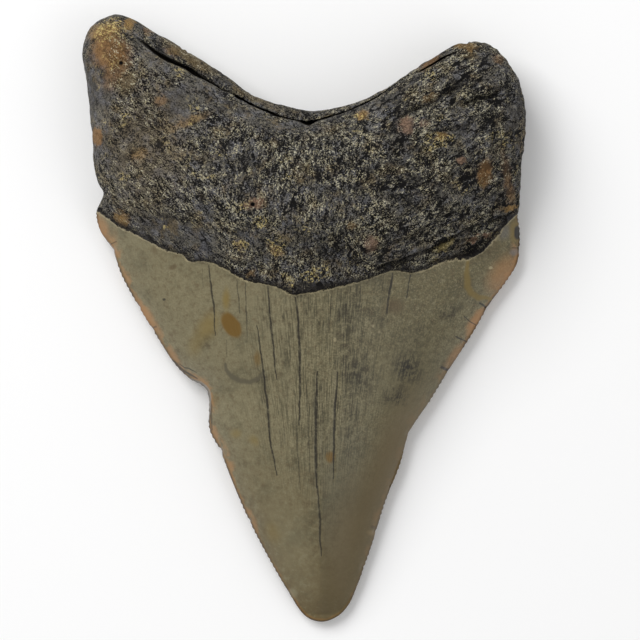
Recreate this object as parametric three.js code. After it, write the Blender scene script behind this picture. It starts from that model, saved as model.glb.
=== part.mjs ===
// Fossil megalodon tooth, lying on its flat lip-side face, so the tongue-side face looks up.
// Millimetres, +Z up, +Y from the tip of the crown to the root.
// Root and enamel crown grew as one body, so the tooth is one closed mesh.
import * as THREE from 'three';
import { mergeVertices } from 'three/addons/utils/BufferGeometryUtils.js';

// Driving dimensions
const rootThickness = 26; // highest point of the root's bulge
const lobeThickness = 17; // out on the two root lobes
const crownThickness = 18; // crown at the root line, on the centre line
const rootRimHeight = 8; // height of the root's widest line
const crownEdgeHeight = 3.2; // height of the cutting edge
const tipEdgeHeight = 2.2;
const rootStep = { height: 1.6, wall: 2 }; // the root stands above the enamel along the root line

// Rounding of the rim, measured inwards from the outline
const rootRounding = 9;
const rootUnderRounding = 6;
const crownUnderRounding = 10;

// The bulge of the root, and the ledge behind it between the lobes
const heart = { x: -0.5, y: 17 }; // where the meridians start
const bulge = { y: 21, halfWidth: 26, halfLength: 17 };
const ledge = { drop: 6.5, wall: 2.2, fromX: -33, toX: 31, fade: 5 };

// How the crown thins towards the tip, and how the root grows above the root line
const crownTaper = 0.55;
const lensPower = 0.9;
const rootRise = 14;
const shoulderY = [14, 27]; // the rim climbs from the cutting edge to the root's rim here

// Fineness of the mesh
const columns = 90;
const rings = 36;

// Outline seen from above, counter-clockwise from the right corner between root and crown
const outlinePoints = [
  [40.5, 20], [41, 25], [41.5, 32], [42, 38], [41, 44], [38.5, 48.5], [35, 51.5], // right lobe
  [31.5, 52.5], [27.5, 51.5], [22, 48], [17, 44.5], [11, 41.5], [5, 39.5], [0, 39.5], // notch
  [-5.5, 41], [-11.5, 43.5], [-17.5, 47.5], [-24, 52], [-30, 55.5], [-35, 57.5], // left lobe
  [-39, 56.5], [-41.5, 53.5], [-42, 49], [-41, 42], [-40, 34], [-39.5, 28], [-38, 24],
  [-39.5, 20.5], [-38.5, 16.5], [-36.5, 13], [-34.5, 8], [-30.5, 0.5], [-26, -6.5], // left edge
  [-22.5, -10.5], [-19, -12.5], [-18, -16], [-18, -20.5], [-15.5, -26], [-12, -35],
  [-7, -45], [-2.5, -52.5], [0, -56.5], [3, -57.5], [7, -56], [10, -51], // tip
  [13, -42.5], [16.5, -32], [19.5, -23.5], [23.5, -16], [29, -7.5], [34, 0], // right edge
  [38.5, 7], [40.5, 11.5], [41, 16],
];

// Line where the root meets the enamel, from left to right
const rootLinePoints = [
  [-42, 20.5], [-36, 18], [-26, 13], [-17, 10.5], [-8, 6.5], [0, 4.5], [9, 6.5], [18, 9],
  [27, 10.5], [34, 13], [38, 18], [42, 19.5],
];

// Crease between the bulge and the ledge behind it, from left to right
const creasePoints = [
  [-36, 55.5], [-28, 50.5], [-19, 45.5], [-10, 40.5], [-3, 37.5], [2, 37], [8, 39],
  [16, 43.5], [22, 46.5], [30, 51],
];

function curveThrough(points, closed) {
  const corners = points.map(([x, y]) => new THREE.Vector3(x, y, 0));
  return new THREE.CatmullRomCurve3(corners, closed, 'centripetal');
}

// A line that runs from left to right, as a function giving y for any x
function heightOfLine(points) {
  const samples = curveThrough(points, false).getPoints(120);
  return (x) => {
    const next = samples.findIndex((point) => point.x > x);
    if (next === 0) return samples[0].y;
    if (next < 0) return samples[samples.length - 1].y;
    const before = samples[next - 1];
    const after = samples[next];
    return THREE.MathUtils.mapLinear(x, before.x, after.x, before.y, after.y);
  };
}

const outline = curveThrough(outlinePoints, true);
outline.arcLengthDivisions = 2000;
const outlineSamples = outline.getSpacedPoints(1200);
const tipY = Math.min(...outlineSamples.map((point) => point.y));
const rootLine = heightOfLine(rootLinePoints);
const crease = heightOfLine(creasePoints);

// Left and right end of the outline across the tooth at one y
function rowAt(y) {
  const crossings = [];
  for (let i = 1; i < outlineSamples.length; i += 1) {
    const before = outlineSamples[i - 1];
    const after = outlineSamples[i];
    if ((before.y - y) * (after.y - y) <= 0) crossings.push(before.x);
  }
  return { left: Math.min(...crossings), right: Math.max(...crossings) };
}

// Height of the widest line, where the upper and lower surfaces meet
function rimHeight(y) {
  const alongCrown = THREE.MathUtils.smoothstep(y, tipY, tipY + 30);
  const edge = THREE.MathUtils.lerp(tipEdgeHeight, crownEdgeHeight, alongCrown);
  return THREE.MathUtils.lerp(edge, rootRimHeight, THREE.MathUtils.smoothstep(y, ...shoulderY));
}

// Quarter circle from 0 at the rim to 1 at the given distance inwards
function quarterRound(inwards, radius) {
  const out = 1 - Math.min(inwards / radius, 1);
  return Math.sqrt(1 - out * out);
}

// Crown: a lens across each row, thinning towards the tip
function crownTop(x, y) {
  const { left, right } = rowAt(y);
  const across = (2 * x - left - right) / Math.max(right - left, 1e-6);
  const lens = Math.max(1 - across * across, 0) ** lensPower;
  const length = Math.max(y - tipY, 0) / (rootLine(0) - tipY);
  const rim = rimHeight(y);
  return rim + Math.max(crownThickness * length ** crownTaper - rim, 0) * lens;
}

// Root: a bulge over the middle, falling to two even lobes with a rounded rim
function rootTop(x, y, inwards) {
  const reach = (x / bulge.halfWidth) ** 2 + ((y - bulge.y) / bulge.halfLength) ** 2;
  const crest = lobeThickness + (rootThickness - lobeThickness) * Math.exp(-reach);
  const rim = rimHeight(y);
  return rim + (crest - rim) * quarterRound(inwards, rootRounding);
}

function ledgeDrop(x, y) {
  const past = THREE.MathUtils.smoothstep(y - crease(x), -ledge.wall, 0);
  const start = THREE.MathUtils.smoothstep(x, ledge.fromX, ledge.fromX + ledge.fade);
  const end = 1 - THREE.MathUtils.smoothstep(x, ledge.toX - ledge.fade, ledge.toX);
  return ledge.drop * past * start * end;
}

function upperSurface(x, y, inwards) {
  const above = y - rootLine(x);
  const rise = THREE.MathUtils.smoothstep(above, 0, rootRise);
  const onRoot = THREE.MathUtils.smoothstep(above, -rootStep.wall, rootStep.wall);
  const step = rootStep.height * onRoot * (1 - rise) * quarterRound(inwards, rootRounding / 2);
  const body = THREE.MathUtils.lerp(crownTop(x, y), rootTop(x, y, inwards), rise);
  return Math.max(body - ledgeDrop(x, y), rimHeight(y)) + step;
}

// Lower surface: flat at z = 0, curling up to the rim
function lowerSurface(y, inwards) {
  const rootShare = THREE.MathUtils.smoothstep(y, ...shoulderY);
  const radius = THREE.MathUtils.lerp(crownUnderRounding, rootUnderRounding, rootShare);
  return rimHeight(y) * (1 - quarterRound(inwards, radius));
}

function toothGeometry() {
  const ball = new THREE.SphereGeometry(1, columns, rings);
  ball.rotateX(Math.PI / 2);
  ball.deleteAttribute('normal');
  ball.deleteAttribute('uv');
  const geometry = mergeVertices(ball, 1e-5);
  const position = geometry.attributes.position;
  const spot = new THREE.Vector3();
  for (let i = 0; i < position.count; i += 1) {
    spot.fromBufferAttribute(position, i);
    // Each meridian of the ball runs from the heart to one point of the outline
    const turn = Math.atan2(spot.y, spot.x) / (2 * Math.PI);
    const end = outline.getPointAt((turn + 1) % 1);
    const outwards = Math.hypot(spot.x, spot.y);
    const x = THREE.MathUtils.lerp(heart.x, end.x, outwards);
    const y = THREE.MathUtils.lerp(heart.y, end.y, outwards);
    const inwards = Math.hypot(end.x - x, end.y - y);
    const z = spot.z > 0 ? upperSurface(x, y, inwards) : lowerSurface(y, inwards);
    position.setXYZ(i, x, y, z);
  }
  geometry.computeBoundingBox();
  const middle = geometry.boundingBox.getCenter(new THREE.Vector3());
  geometry.translate(-middle.x, -middle.y, -geometry.boundingBox.min.z);
  geometry.computeVertexNormals();
  return geometry;
}

function toothMaterial() {
  return new THREE.MeshStandardMaterial({ color: 0x6b6556, roughness: 0.6, metalness: 0 });
}

const tooth = new THREE.Mesh(toothGeometry(), toothMaterial());
tooth.name = 'tooth';

const fossil = new THREE.Group();
fossil.add(tooth);

export default fossil;
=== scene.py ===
import math

import bpy
import bmesh
import numpy as np
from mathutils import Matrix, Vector, geometry, kdtree, noise


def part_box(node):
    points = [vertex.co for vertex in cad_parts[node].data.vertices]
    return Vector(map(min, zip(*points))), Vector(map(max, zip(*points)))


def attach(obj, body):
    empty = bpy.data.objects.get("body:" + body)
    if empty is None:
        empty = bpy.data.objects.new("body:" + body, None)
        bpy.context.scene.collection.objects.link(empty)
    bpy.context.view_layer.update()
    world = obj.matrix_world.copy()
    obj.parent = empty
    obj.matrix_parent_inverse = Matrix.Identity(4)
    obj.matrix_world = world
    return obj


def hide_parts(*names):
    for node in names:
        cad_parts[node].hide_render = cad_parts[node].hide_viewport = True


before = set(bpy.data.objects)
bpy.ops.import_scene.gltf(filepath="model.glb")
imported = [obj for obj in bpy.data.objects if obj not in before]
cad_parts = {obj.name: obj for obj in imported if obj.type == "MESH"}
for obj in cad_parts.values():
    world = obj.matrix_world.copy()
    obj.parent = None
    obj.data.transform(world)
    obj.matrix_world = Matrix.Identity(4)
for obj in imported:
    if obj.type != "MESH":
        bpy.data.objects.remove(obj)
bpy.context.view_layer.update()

# Fossil megalodon tooth lying on its lip side. Lengths in the settings are millimetres,
# x across the tooth, y from the tip of the crown to the root, z up.
mm = 0.001

view = {
    "pictureWidth": 121.4,      # how much of the tooth's plane the picture spans
    "distance": 900,
    "sensor": 36,
    "aim": (3.0, -0.2, 6.0),
    "farthest": 20,             # metres
}


def setCamera():
    lens = bpy.data.cameras.new("camera")
    lens.sensor_width = view["sensor"]
    lens.lens = view["sensor"] * view["distance"] / view["pictureWidth"]
    lens.clip_end = view["farthest"]
    camera = bpy.data.objects.new("camera", lens)
    x, y, z = view["aim"]
    camera.location = (x * mm, y * mm, (z + view["distance"]) * mm)
    bpy.context.collection.objects.link(camera)
    bpy.context.scene.camera = camera


setCamera()
print("camera looks straight down")

# Small numeric helpers

def fade(value, low, high):
    share = np.clip((value - low) / (high - low), 0, 1)
    return share * share * (3 - 2 * share)


def bell(value, width):
    return np.exp(-((value / width) ** 2))


def quarterRound(inwards, radius):
    out = 1 - np.clip(inwards / radius, 0, 1)
    return np.sqrt(1 - out * out)


def drawLine(points, closed=False, steps=30):
    # a smooth line through the points, as many short steps
    corners = [Vector((x, y, 0)) for x, y in points]
    count = len(corners)
    line = []
    for i in range(count if closed else count - 1):
        here, there = corners[i], corners[(i + 1) % count]
        before = corners[i - 1] if closed or i else here
        after = corners[(i + 2) % count] if closed or i + 2 < count else there
        reach = (there - here).length / 3
        first = here + (there - before).normalized() * reach
        second = there - (after - here).normalized() * reach
        arc = geometry.interpolate_bezier(here, first, second, there, steps)
        line += [(p.x, p.y) for p in arc[:-1]]
    if not closed:
        line.append(tuple(points[-1]))
    return np.array(line)


def placesAlong(line, shares):
    steps = np.hypot(*np.diff(line, axis=0).T)
    travelled = np.concatenate([[0], np.cumsum(steps)])
    where = shares * travelled[-1]
    return np.stack([np.interp(where, travelled, line[:, k]) for k in (0, 1)], axis=-1)


def crowdedShares(count, least, reach, mirrored, closing):
    # shares from 0 to 1 whose gaps are smallest at the start; mirrored, at the end too
    fine = np.linspace(0, 1, 4000)
    fromEnd = np.minimum(fine, 1 - fine) if mirrored else fine
    gap = least + (1 - least) * fade(fromEnd, 0, reach) * (1 - closing * fade(fromEnd, 0.96, 1))
    travelled = np.cumsum(1 / gap)
    travelled = (travelled - travelled[0]) / (travelled[-1] - travelled[0])
    return np.interp(np.linspace(0, 1, count + 1), travelled, fine)


def distanceTo(line, places):
    tree = kdtree.KDTree(len(line))
    for i, (x, y) in enumerate(line):
        tree.insert((x, y, 0), i)
    tree.balance()
    flat = places.reshape(-1, 2)
    found = [tree.find((x, y, 0))[2] for x, y in flat]
    return np.array(found).reshape(places.shape[:-1])


def distanceNear(points, places, reach=1.0):
    # as distanceTo, but far places are simply far
    line = drawLine(points)
    low, high = line.min(axis=0) - reach, line.max(axis=0) + reach
    near = ((places > low) & (places < high)).all(axis=-1)
    away = np.full(len(places), 1e3)
    away[near] = distanceTo(line, places[near])
    return away


# Outline of the tooth seen from above, counter-clockwise, in eight stretches.
# Each stretch runs on to the first point of the next one.
outline = {
    "rightRoot": [(40.5, 20), (41, 25), (41.3, 31), (41.9, 38), (41.3, 43)],
    "rightCorner": [(40.2, 46), (38.6, 48.4)],
    "top": [(36.2, 50.8), (34.2, 51.8), (31.8, 52.3), (28, 51.6), (22.5, 48.3), (17.5, 44.8),
            (11, 41.4), (5.5, 39.8), (1, 39.5), (-4.5, 40.6), (-10, 42.6), (-16, 46.8),
            (-22.4, 50.9), (-28, 54.2), (-31.5, 56.3), (-35, 57.6)],
    "leftCorner": [(-38.3, 56.7), (-40.4, 55.1)],
    "leftRoot": [(-41.6, 52.4), (-41.9, 49.4), (-41.3, 46), (-40.6, 40), (-40, 34), (-39.7, 29),
                 (-38.9, 25.4), (-38.1, 23.8)],
    "leftCrown": [(-39.4, 20.4), (-38.7, 16.8), (-36.6, 13.6), (-34.8, 8.6), (-31.7, 2.8),
                  (-28, -3.3), (-24.6, -8.6), (-21.7, -11.4), (-19.5, -12.5), (-18.3, -14),
                  (-18.1, -17), (-18, -21), (-16, -25), (-13.6, -31), (-10.8, -37.6),
                  (-7.1, -44.8), (-2.8, -52.2)],
    "tip": [(0.1, -56.4), (3.1, -57.6)],
    "rightCrown": [(6, -56.8), (8.2, -54.8), (9.7, -51.8), (12.6, -43.8), (15.4, -34.8),
                   (18.2, -27.7), (20, -21.6), (24, -15.4), (27.8, -9.2), (32, -2.7), (35.2, 2.8),
                   (38.6, 7.4), (40.6, 11), (41, 16.5)],
}

# Where root and enamel meet, on the upper and on the lower face, from left to right
rootLine = {
    "upper": [(-39.4, 20.4), (-37.2, 19.1), (-35.3, 17.6), (-32, 16.1), (-28.7, 14.3),
              (-25.6, 12.8), (-22.9, 12.2), (-21.7, 10.9), (-19.3, 10.9), (-17.1, 10.5),
              (-14.2, 9.1), (-11.1, 7.3), (-7.6, 6.6), (-4.5, 5.8), (-2.3, 4.6), (0.2, 4.8),
              (5, 5.7), (8.8, 6.6), (12.3, 7.6), (15.5, 8.8), (17.8, 9.1), (20.1, 8.7),
              (22.4, 9.1), (25.4, 10.4), (28.2, 11.1), (30.9, 11.3), (32.7, 12.1), (34.9, 13.9),
              (36.7, 15.8), (37.8, 17.6), (40.5, 20)],
    "lower": [(-39.4, 20.4), (-34, 19.4), (-26, 17.8), (-17, 15.4), (-8, 13.6), (0, 13),
              (9, 13.8), (18, 15.6), (27, 17.6), (34, 19), (40.5, 20)],
}

# Crease between the bulge of the root and the ledge behind it, from left to right;
# it is open between gapStart and gapEnd, and closed on the tips of the lobes
crease = [(-41.6, 52.4), (-38.4, 54), (-34.6, 53.9), (-31, 52.4), (-28.1, 50.3), (-25.6, 48.6),
          (-22.4, 47), (-19.3, 45.2), (-16.1, 43.4), (-13, 42), (-10.5, 40.6), (-6.7, 38.9),
          (-3.3, 37.7), (1, 37), (4.4, 37.9), (7.9, 39), (10.8, 40.3), (13.7, 41.7),
          (16.6, 43.7), (18.9, 45.3), (21.9, 46.6), (24.4, 48), (26.8, 49.4), (30, 50.2),
          (34.2, 49.6), (37.6, 48), (40.2, 46)]

form = {
    "rootThickness": 26,        # the bulge of the root
    "lobeThickness": 17,
    "crownThickness": 18,       # on the centre line, at the root line
    "centreLine": 4.8,          # y of the root line there
    "rootRim": 8,               # height of the root's widest line
    "edge": 3.2,                # height of the cutting edge
    "tipEdge": 2.2,
    "tipReach": 30,             # the edge is thinner over this length from the tip
    "bulge": (0, 21, 26, 17),   # x, y, half width, half length
    "rootRounding": 9,
    "underRounding": (10, 6),   # crown, root
    "crownTaper": 0.55,
    "lensPower": 0.9,
    "rootRise": 14,
    "shoulder": (14, 27),
    "step": 0.9,                # the root stands this much above the enamel
    "ledge": 5.0,               # the ledge above the root's rim
    "softRim": 3,               # the step and the ledge round off over this width
    "gapDepth": 3.2,            # the crease below the ledge
    "gapWidth": (0.3, 0.85, -21),   # at its ends, at its widest, and where that is
    "gapStart": (-32.5, -26.5),     # it opens between these x
    "gapEnd": (26.5, 29.5),         # and closes between these
    "facetSlope": 5.0,          # how steeply the broken places fall to the edge
}

# Edges of the whole crown, before any chip: y, left x, right x
wholeCrown = [(-57.6, 1.5, 5.0), (-52.4, -3.0, 9.4), (-43.8, -7.7, 12.6), (-34.7, -12.2, 15.4),
              (-25, -16.3, 18.9), (-21, -18.0, 20.5), (-17, -19.2, 23.0), (-13.8, -20.4, 25.0),
              (-11.6, -22.0, 26.4), (-8.6, -24.7, 28.2), (-5.7, -26.8, 30), (2.7, -31.7, 35.1),
              (9.8, -35.4, 39.9), (16.5, -38.6, 40.9), (22, -39.6, 40.6), (40, -41, 42),
              (60, -42, 42)]

mesh = {
    "columns": 176,
    "crownRows": 176,
    "rootRows": 84,
    "ledgeRows": 18,
    # least gap, the share over which it widens, whether both ends are alike,
    # and how far the gaps close again at the last row
    "columnGaps": (0.25, 0.1, True, 0),
    "crownGaps": (0.35, 0.05, False, 0.5),
    "rootGaps": (0.3, 0.06, False, 0.9),
    "ledgeGaps": (0.5, 0.4, True, 0),
    # how close a line's shape stays to it: that of the sides, and that of tip and root line
    "crownPowers": (1.5, 3.5),
    "ledgePower": 8,
    "cornerPower": 6,
    "curveSteps": 30,
    "weld": 1e-4,
    "bakeMargin": 0.004,
}


def cutOutline():
    # the closed outline, cut into its stretches
    steps = mesh["curveSteps"]
    line = drawLine([p for points in outline.values() for p in points], closed=True, steps=steps)
    ring = np.concatenate([line, line])
    parts, at = {}, 0
    for name, points in outline.items():
        length = len(points) * (steps - 1)
        parts[name] = ring[at:at + length + 1]
        at += length
    return line, parts


def offChord(line, shares):
    return line - (1 - shares[:, None]) * line[0] - shares[:, None] * line[-1]


def fillBetween(left, right, low, high, rows, inwards=1, upwards=1):
    # a flat sheet over the four corners, bent to the shape of each of its four lines;
    # the larger the two powers, the closer to its line a shape stays
    left, right = placesAlong(left, rows), placesAlong(right, rows)
    up, along = rows[:, None, None], columns[None, :, None]
    sheet = (1 - up) * ((1 - along) * low[0] + along * low[-1])
    sheet = sheet + up * ((1 - along) * high[0] + along * high[-1])
    for line, share in ((left, 1 - along), (right, along)):
        sheet = sheet + share ** inwards * offChord(line, rows)[:, None]
    for line, share in ((low, 1 - up), (high, up)):
        sheet = sheet + share ** upwards * offChord(line, columns)
    return sheet


def backPlaces(front):
    # behind the crease the columns run straight back, except at the two corners
    top = stretches["top"][::-1]
    power = mesh["cornerPower"]
    x = front[:, 0] + (top[0, 0] - front[0, 0]) * (1 - columns) ** power
    x = x + (top[-1, 0] - front[-1, 0]) * columns ** power
    return np.stack([x, np.interp(x, top[:, 0], top[:, 1])], axis=-1)


wholeEdges = [drawLine([(row[side], row[0]) for row in wholeCrown]) for side in (1, 2)]
columns = crowdedShares(mesh["columns"], *mesh["columnGaps"])
crownRows = crowdedShares(mesh["crownRows"], *mesh["crownGaps"])
rootRows = crowdedShares(mesh["rootRows"], *mesh["rootGaps"])
ledgeRows = crowdedShares(mesh["ledgeRows"], *mesh["ledgeGaps"])
wholeOutline, stretches = cutOutline()
creaseLine = drawLine(crease)
tipY = wholeOutline[:, 1].min()


def laySheet(face):
    # x and y of every point of one face, how far it is above the root line,
    # and how far behind the crease
    line = drawLine(rootLine[face])
    tip, neck, back = (placesAlong(way, columns) for way in (stretches["tip"], line, creaseLine))
    crown = fillBetween(stretches["leftCrown"][::-1], stretches["rightCrown"],
                        tip, neck, crownRows, *mesh["crownPowers"])
    root = fillBetween(stretches["leftRoot"][::-1], stretches["rightRoot"], neck, back, rootRows)
    ledge = fillBetween(stretches["leftCorner"][::-1], stretches["rightCorner"],
                        back, backPlaces(back), ledgeRows, mesh["ledgePower"])
    places = np.concatenate([crown, root[1:], ledge[1:]])
    row = np.arange(len(places))[:, None]
    aboveLine = distanceTo(line, places) * np.where(row > mesh["crownRows"], 1, -1)
    behind = distanceTo(creaseLine, places)
    behind = behind * np.where(row > mesh["crownRows"] + mesh["rootRows"], 1, -1)
    return places, aboveLine, behind


def rimHeight(y):
    edge = form["tipEdge"] + (form["edge"] - form["tipEdge"]) * fade(y, tipY, tipY + form["tipReach"])
    return edge + (form["rootRim"] - edge) * fade(y, *form["shoulder"])


def crownHeight(x, y):
    left, right = (np.interp(y, line[:, 1], line[:, 0]) for line in wholeEdges)
    across = (2 * x - left - right) / (right - left)
    lens = np.clip(1 - across * across, 0, 1) ** form["lensPower"]
    length = np.clip(y - tipY, 0, None) / (form["centreLine"] - tipY)
    middle = form["crownThickness"] * length ** form["crownTaper"]
    return rimHeight(y) + np.clip(middle - rimHeight(y), 0, None) * lens


def rootHeight(x, y, inwards):
    midX, midY, halfWidth, halfLength = form["bulge"]
    reach = ((x - midX) / halfWidth) ** 2 + ((y - midY) / halfLength) ** 2
    crest = form["lobeThickness"] + (form["rootThickness"] - form["lobeThickness"]) * np.exp(-reach)
    return rimHeight(y) + (crest - rimHeight(y)) * quarterRound(inwards, form["rootRounding"])


def upperHeights(places, aboveLine, behind, inwards):
    x, y = places[..., 0], places[..., 1]
    rise = fade(aboveLine, 0, form["rootRise"])
    crown = crownHeight(x, y)
    facet = rimHeight(y) + inwards * form["facetSlope"]
    broken = fade(crown - facet, 0.1, 0.6) * (aboveLine < 0)
    crown = np.minimum(crown, facet)
    height = crown + (rootHeight(x, y, inwards) - crown) * rise
    step = form["step"] * fade(aboveLine, -0.05, 0.4) * (1 - rise)
    height = height + step * quarterRound(inwards, form["softRim"])

    # the gap behind the bulge, and the ledge beyond it
    openGap = fade(x, *form["gapStart"]) * (1 - fade(x, *form["gapEnd"]))
    narrow, wide, widestX = form["gapWidth"]
    gapWidth = narrow + (wide - narrow) * bell(x - widestX, 5)
    ledge = rimHeight(y) + form["ledge"] * quarterRound(inwards, form["softRim"])
    past = fade(behind, -0.01, 0.01)
    height = height + (ledge - height) * past * openGap
    lip = fade(behind, -0.5, 0) * (behind <= 0)
    cut = np.where(behind > 0, 1 - fade(behind, 0.4 * gapWidth, gapWidth), lip ** 3)
    cut = cut * openGap * fade(inwards, 0.1, 1.0)
    return np.maximum(height - form["gapDepth"] * cut, rimHeight(y)), broken, cut


def lowerHeights(places, inwards):
    y = places[..., 1]
    crownRadius, rootRadius = form["underRounding"]
    radius = crownRadius + (rootRadius - crownRadius) * fade(y, *form["shoulder"])
    return rimHeight(y) * (1 - quarterRound(inwards, radius))


# Relief that the surface carries on top of its form

relief = {
    "rootSwell": (10.0, 0.55),      # size of the lumps, and how far they stand out
    "rootLumps": (3.8, 0.42),
    "rootFibres": (1.3, 0.26),
    "rootGrain": (0.9, 0.16),
    "pits": 260,
    "pitRadius": (0.4, 1.1),
    "pitDepth": (0.2, 0.6),
    "wild": (0.7, 1.4),             # strength of the root's relief at its left and its right
    "fibreStretch": 2.6,
    "lumpStretch": 1.8,
    "crownSwell": (9.0, 0.06),
    "brokenGrain": (0.8, 0.05),
    "ridge": (3.0, 2.5, 0.4),       # low ridge along the crown: x, half width, height
    "crackGroove": (0.25, 0.12),    # half width, depth
    "serration": (0.08, 0.4),       # depth, reach in from the edge
    "worn": 5.0,                    # size of the stretches where the serration is worn off
    "nickReach": 0.7,               # how far in from the edge the nicks go
    "rootEdge": (-0.05, 0.35),      # the root's relief sets in over this way past the root line
    "seed": 11,
}

# Run of the root's fibres: angle from x, and where it takes over from the one before
fibres = [(-42, None), (84, -14), (36, 12)]

# Layers of the root that overlap like shingles: height, reach behind the edge, then the edge
folds = [
    (0.9, 3.5, (12, 8.9), (16.6, 11.1), (20, 12.2), (23.9, 13.6), (29.6, 16.8), (35.2, 19), (40.4, 20.6)),
    (0.6, 1.6, (22.5, 10.9), (26.5, 13.2), (30.5, 14.9), (34.6, 15.9), (37.8, 18)),
    (0.5, 2.0, (8, 11.5), (14, 14), (20, 16), (26, 19.5), (31, 21.5)),
    (0.9, 3.0, (16.4, 37.6), (18.4, 38.7), (21.8, 40.4), (25.4, 42.1), (28.2, 43.8), (31, 45.4)),
    (0.8, 2.5, (28, 39.6), (31.4, 41.4), (35.6, 42.6), (38, 44.6)),
    (0.5, 2.0, (20, 33), (25, 35.6), (29, 36.2), (33, 37.6)),
    (0.45, 2.2, (24, 24.5), (29, 28.3), (34, 31)),
    (0.4, 2.0, (-26, 16.6), (-19, 13.6), (-12, 10.8), (-6, 9.4)),
]

# Hollows in the root: x, y, half width, half length, turn, depth
hollows = [
    (32.3, 13.4, 4.0, 0.8, 30, 0.8), (32.7, 41.4, 3.0, 1.0, 15, 0.7), (25, 11.2, 2.5, 0.5, 25, 0.5),
    (-9.5, 21.3, 0.5, 0.5, 0, 1.4), (-34.3, 48, 0.5, 0.5, 0, 0.9), (18, 31, 2.2, 1.4, 40, 0.5),
    (-28, 38, 3, 1.6, -40, 0.4), (27.5, 25.5, 1.5, 1.0, 20, 0.6), (-17, 28, 2.6, 1.5, -30, 0.35),
    (2, 5.9, 4.5, 0.6, 4, 0.3), (10, 29, 2.0, 1.0, 60, 0.4), (-33.5, 50.5, 2.5, 1.6, -40, 0.5),
]

# Cracks down the enamel of each face: width, darkness, then the line
cracks = {
    "upper": [
        (0.24, 0.95, (-17.9, 10.2), (-17.5, 6.5), (-17.0, 2.5), (-16.7, -3.1)),
        (0.15, 0.4, (-19.2, 9.6), (-19, 6)),
        (0.18, 0.7, (-12.6, 7.4), (-12.3, 4), (-12, 1.1)),
        (0.18, 0.7, (-11, 7), (-10.9, 2), (-10.6, -4.2)),
        (0.28, 1.0, (-6.8, 6.2), (-6.5, 2), (-6.2, -1.3), (-5.7, -5.9), (-5.2, -11.4)),
        (0.34, 1.0, (-1.6, 4.2), (-1.1, 0.5), (-0.8, -6.5), (-0.8, -12.4), (-0.9, -20)),
        (0.14, 0.5, (-14.6, -3.9), (-14.5, -7.1)),
        (0.28, 1.0, (-8.8, -1.3), (-8.1, -6.5), (-7.5, -11.2), (-6.9, -16.4), (-6.4, -22.8), (-5.2, -29.5)),
        (0.14, 0.5, (-3.8, -5), (-3.2, -10.3)),
        (0.18, 0.6, (-1.7, -13.9), (-1.4, -21.3), (-1, -28.1), (-0.7, -32.3)),
        (0.18, 0.6, (0.5, -11.3), (0.8, -21.3), (1.2, -28.9)),
        (0.42, 1.0, (2.5, -9.9), (2.3, -15), (2.2, -19.4), (2.2, -24.2), (2.4, -31.9)),
        (0.28, 0.95, (2.6, -31.6), (2.9, -36.7), (3.0, -40.3), (3.2, -44.8)),
        (0.30, 1.0, (6.3, -9.9), (5.9, -16), (5.6, -23.4), (5.5, -30.2)),
        (0.16, 0.7, (5.2, 5.2), (4.9, 1), (4.7, -2.5)),
        (0.16, 0.6, (7, 5.8), (6.6, -0.7)),
        (0.14, 0.5, (7.9, 2.8), (7.8, -3.1)),
        (0.16, 0.5, (10.5, 6.6), (10.7, 2.2)),
        (0.34, 1.0, (16.6, 8.6), (16.1, 5.1), (15.5, 1.1)),
        (0.24, 0.9, (20, 8.3), (19.2, 3.9)),
        (0.12, 0.5, (13.2, -4.8), (13, -13.1)),
        (0.12, 0.4, (3.6, -11), (3.5, -20), (3.4, -29)),
        (0.12, 0.4, (-3.2, -12), (-3, -20)),
        (0.12, 0.35, (8.0, -8), (7.7, -20)),
    ],
    "lower": [
        (0.20, 0.8, (-8.2, 13), (-7.8, 8), (-7.6, 2), (-7, -6)),
        (0.24, 0.9, (4, 12.6), (4.3, 5), (4, -4), (3.6, -14), (3.2, -24)),
        (0.16, 0.6, (14, 14), (13.6, 9), (13.2, 5)),
        (0.18, 0.7, (-19.4, 15), (-18.6, 10), (-18.2, 6)),
        (0.14, 0.5, (-2.4, 12.4), (-2.2, 3), (-1.8, -9)),
        (0.20, 0.8, (9.4, 3), (8.8, -7), (8, -16.5)),
        (0.16, 0.6, (-12.2, -6), (-11, -15), (-9.4, -24)),
        (0.18, 0.7, (2.6, -30), (2.9, -37), (3.1, -43)),
        (0.14, 0.5, (25, 16.4), (24.2, 10.6)),
    ],
}

# Nicks in the cutting edge: place, half length along the edge, depth
nicks = [
    (20, -21.6, 0.7, 0.15), (11, -47.1, 0.5, 0.2), (-2.7, -52.4, 0.8, 0.15),
    (-15.9, -25, 0.6, 0.4), (34.4, 2.2, 0.4, 0.4), (32, -1.2, 0.4, 0.3), (30.2, -4.2, 0.4, 0.3),
    (26.9, -9.6, 0.5, 0.3), (13.4, -40.4, 0.4, 0.25), (-36.1, 13.2, 0.6, 0.3),
    (40.9, 13.4, 0.35, 0.3), (-31.5, 2.4, 0.4, 0.25),
    (-10.4, -38.4, 0.4, 0.25), (-29, -2, 0.4, 0.25), (16.4, -32, 0.4, 0.25),
]


def heading(turn):
    return math.cos(math.radians(turn)), math.sin(math.radians(turn))


def noiseAt(spots, size, offset, octaves=2, turn=0.0, stretch=1.0):
    # soft lumps of one size; stretched ones run along the angle turn
    cos, sin = heading(turn)
    values = []
    for p in spots:
        along, across = p.x * cos + p.y * sin, p.y * cos - p.x * sin
        place = Vector((along / stretch, across, p.z)) / size
        place.x += offset
        values.append(noise.fractal(place, 0.8, 2.0, octaves))
    return np.array(values)


def fibreNoise(spots, x, size, offset, stretch):
    lift = None
    for turn, takesOver in fibres:
        layer = noiseAt(spots, size, offset, 2, turn, stretch)
        share = 1 if takesOver is None else fade(x, takesOver - 5, takesOver + 5)
        lift = layer if lift is None else lift * (1 - share) + layer * share
    return lift


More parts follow.
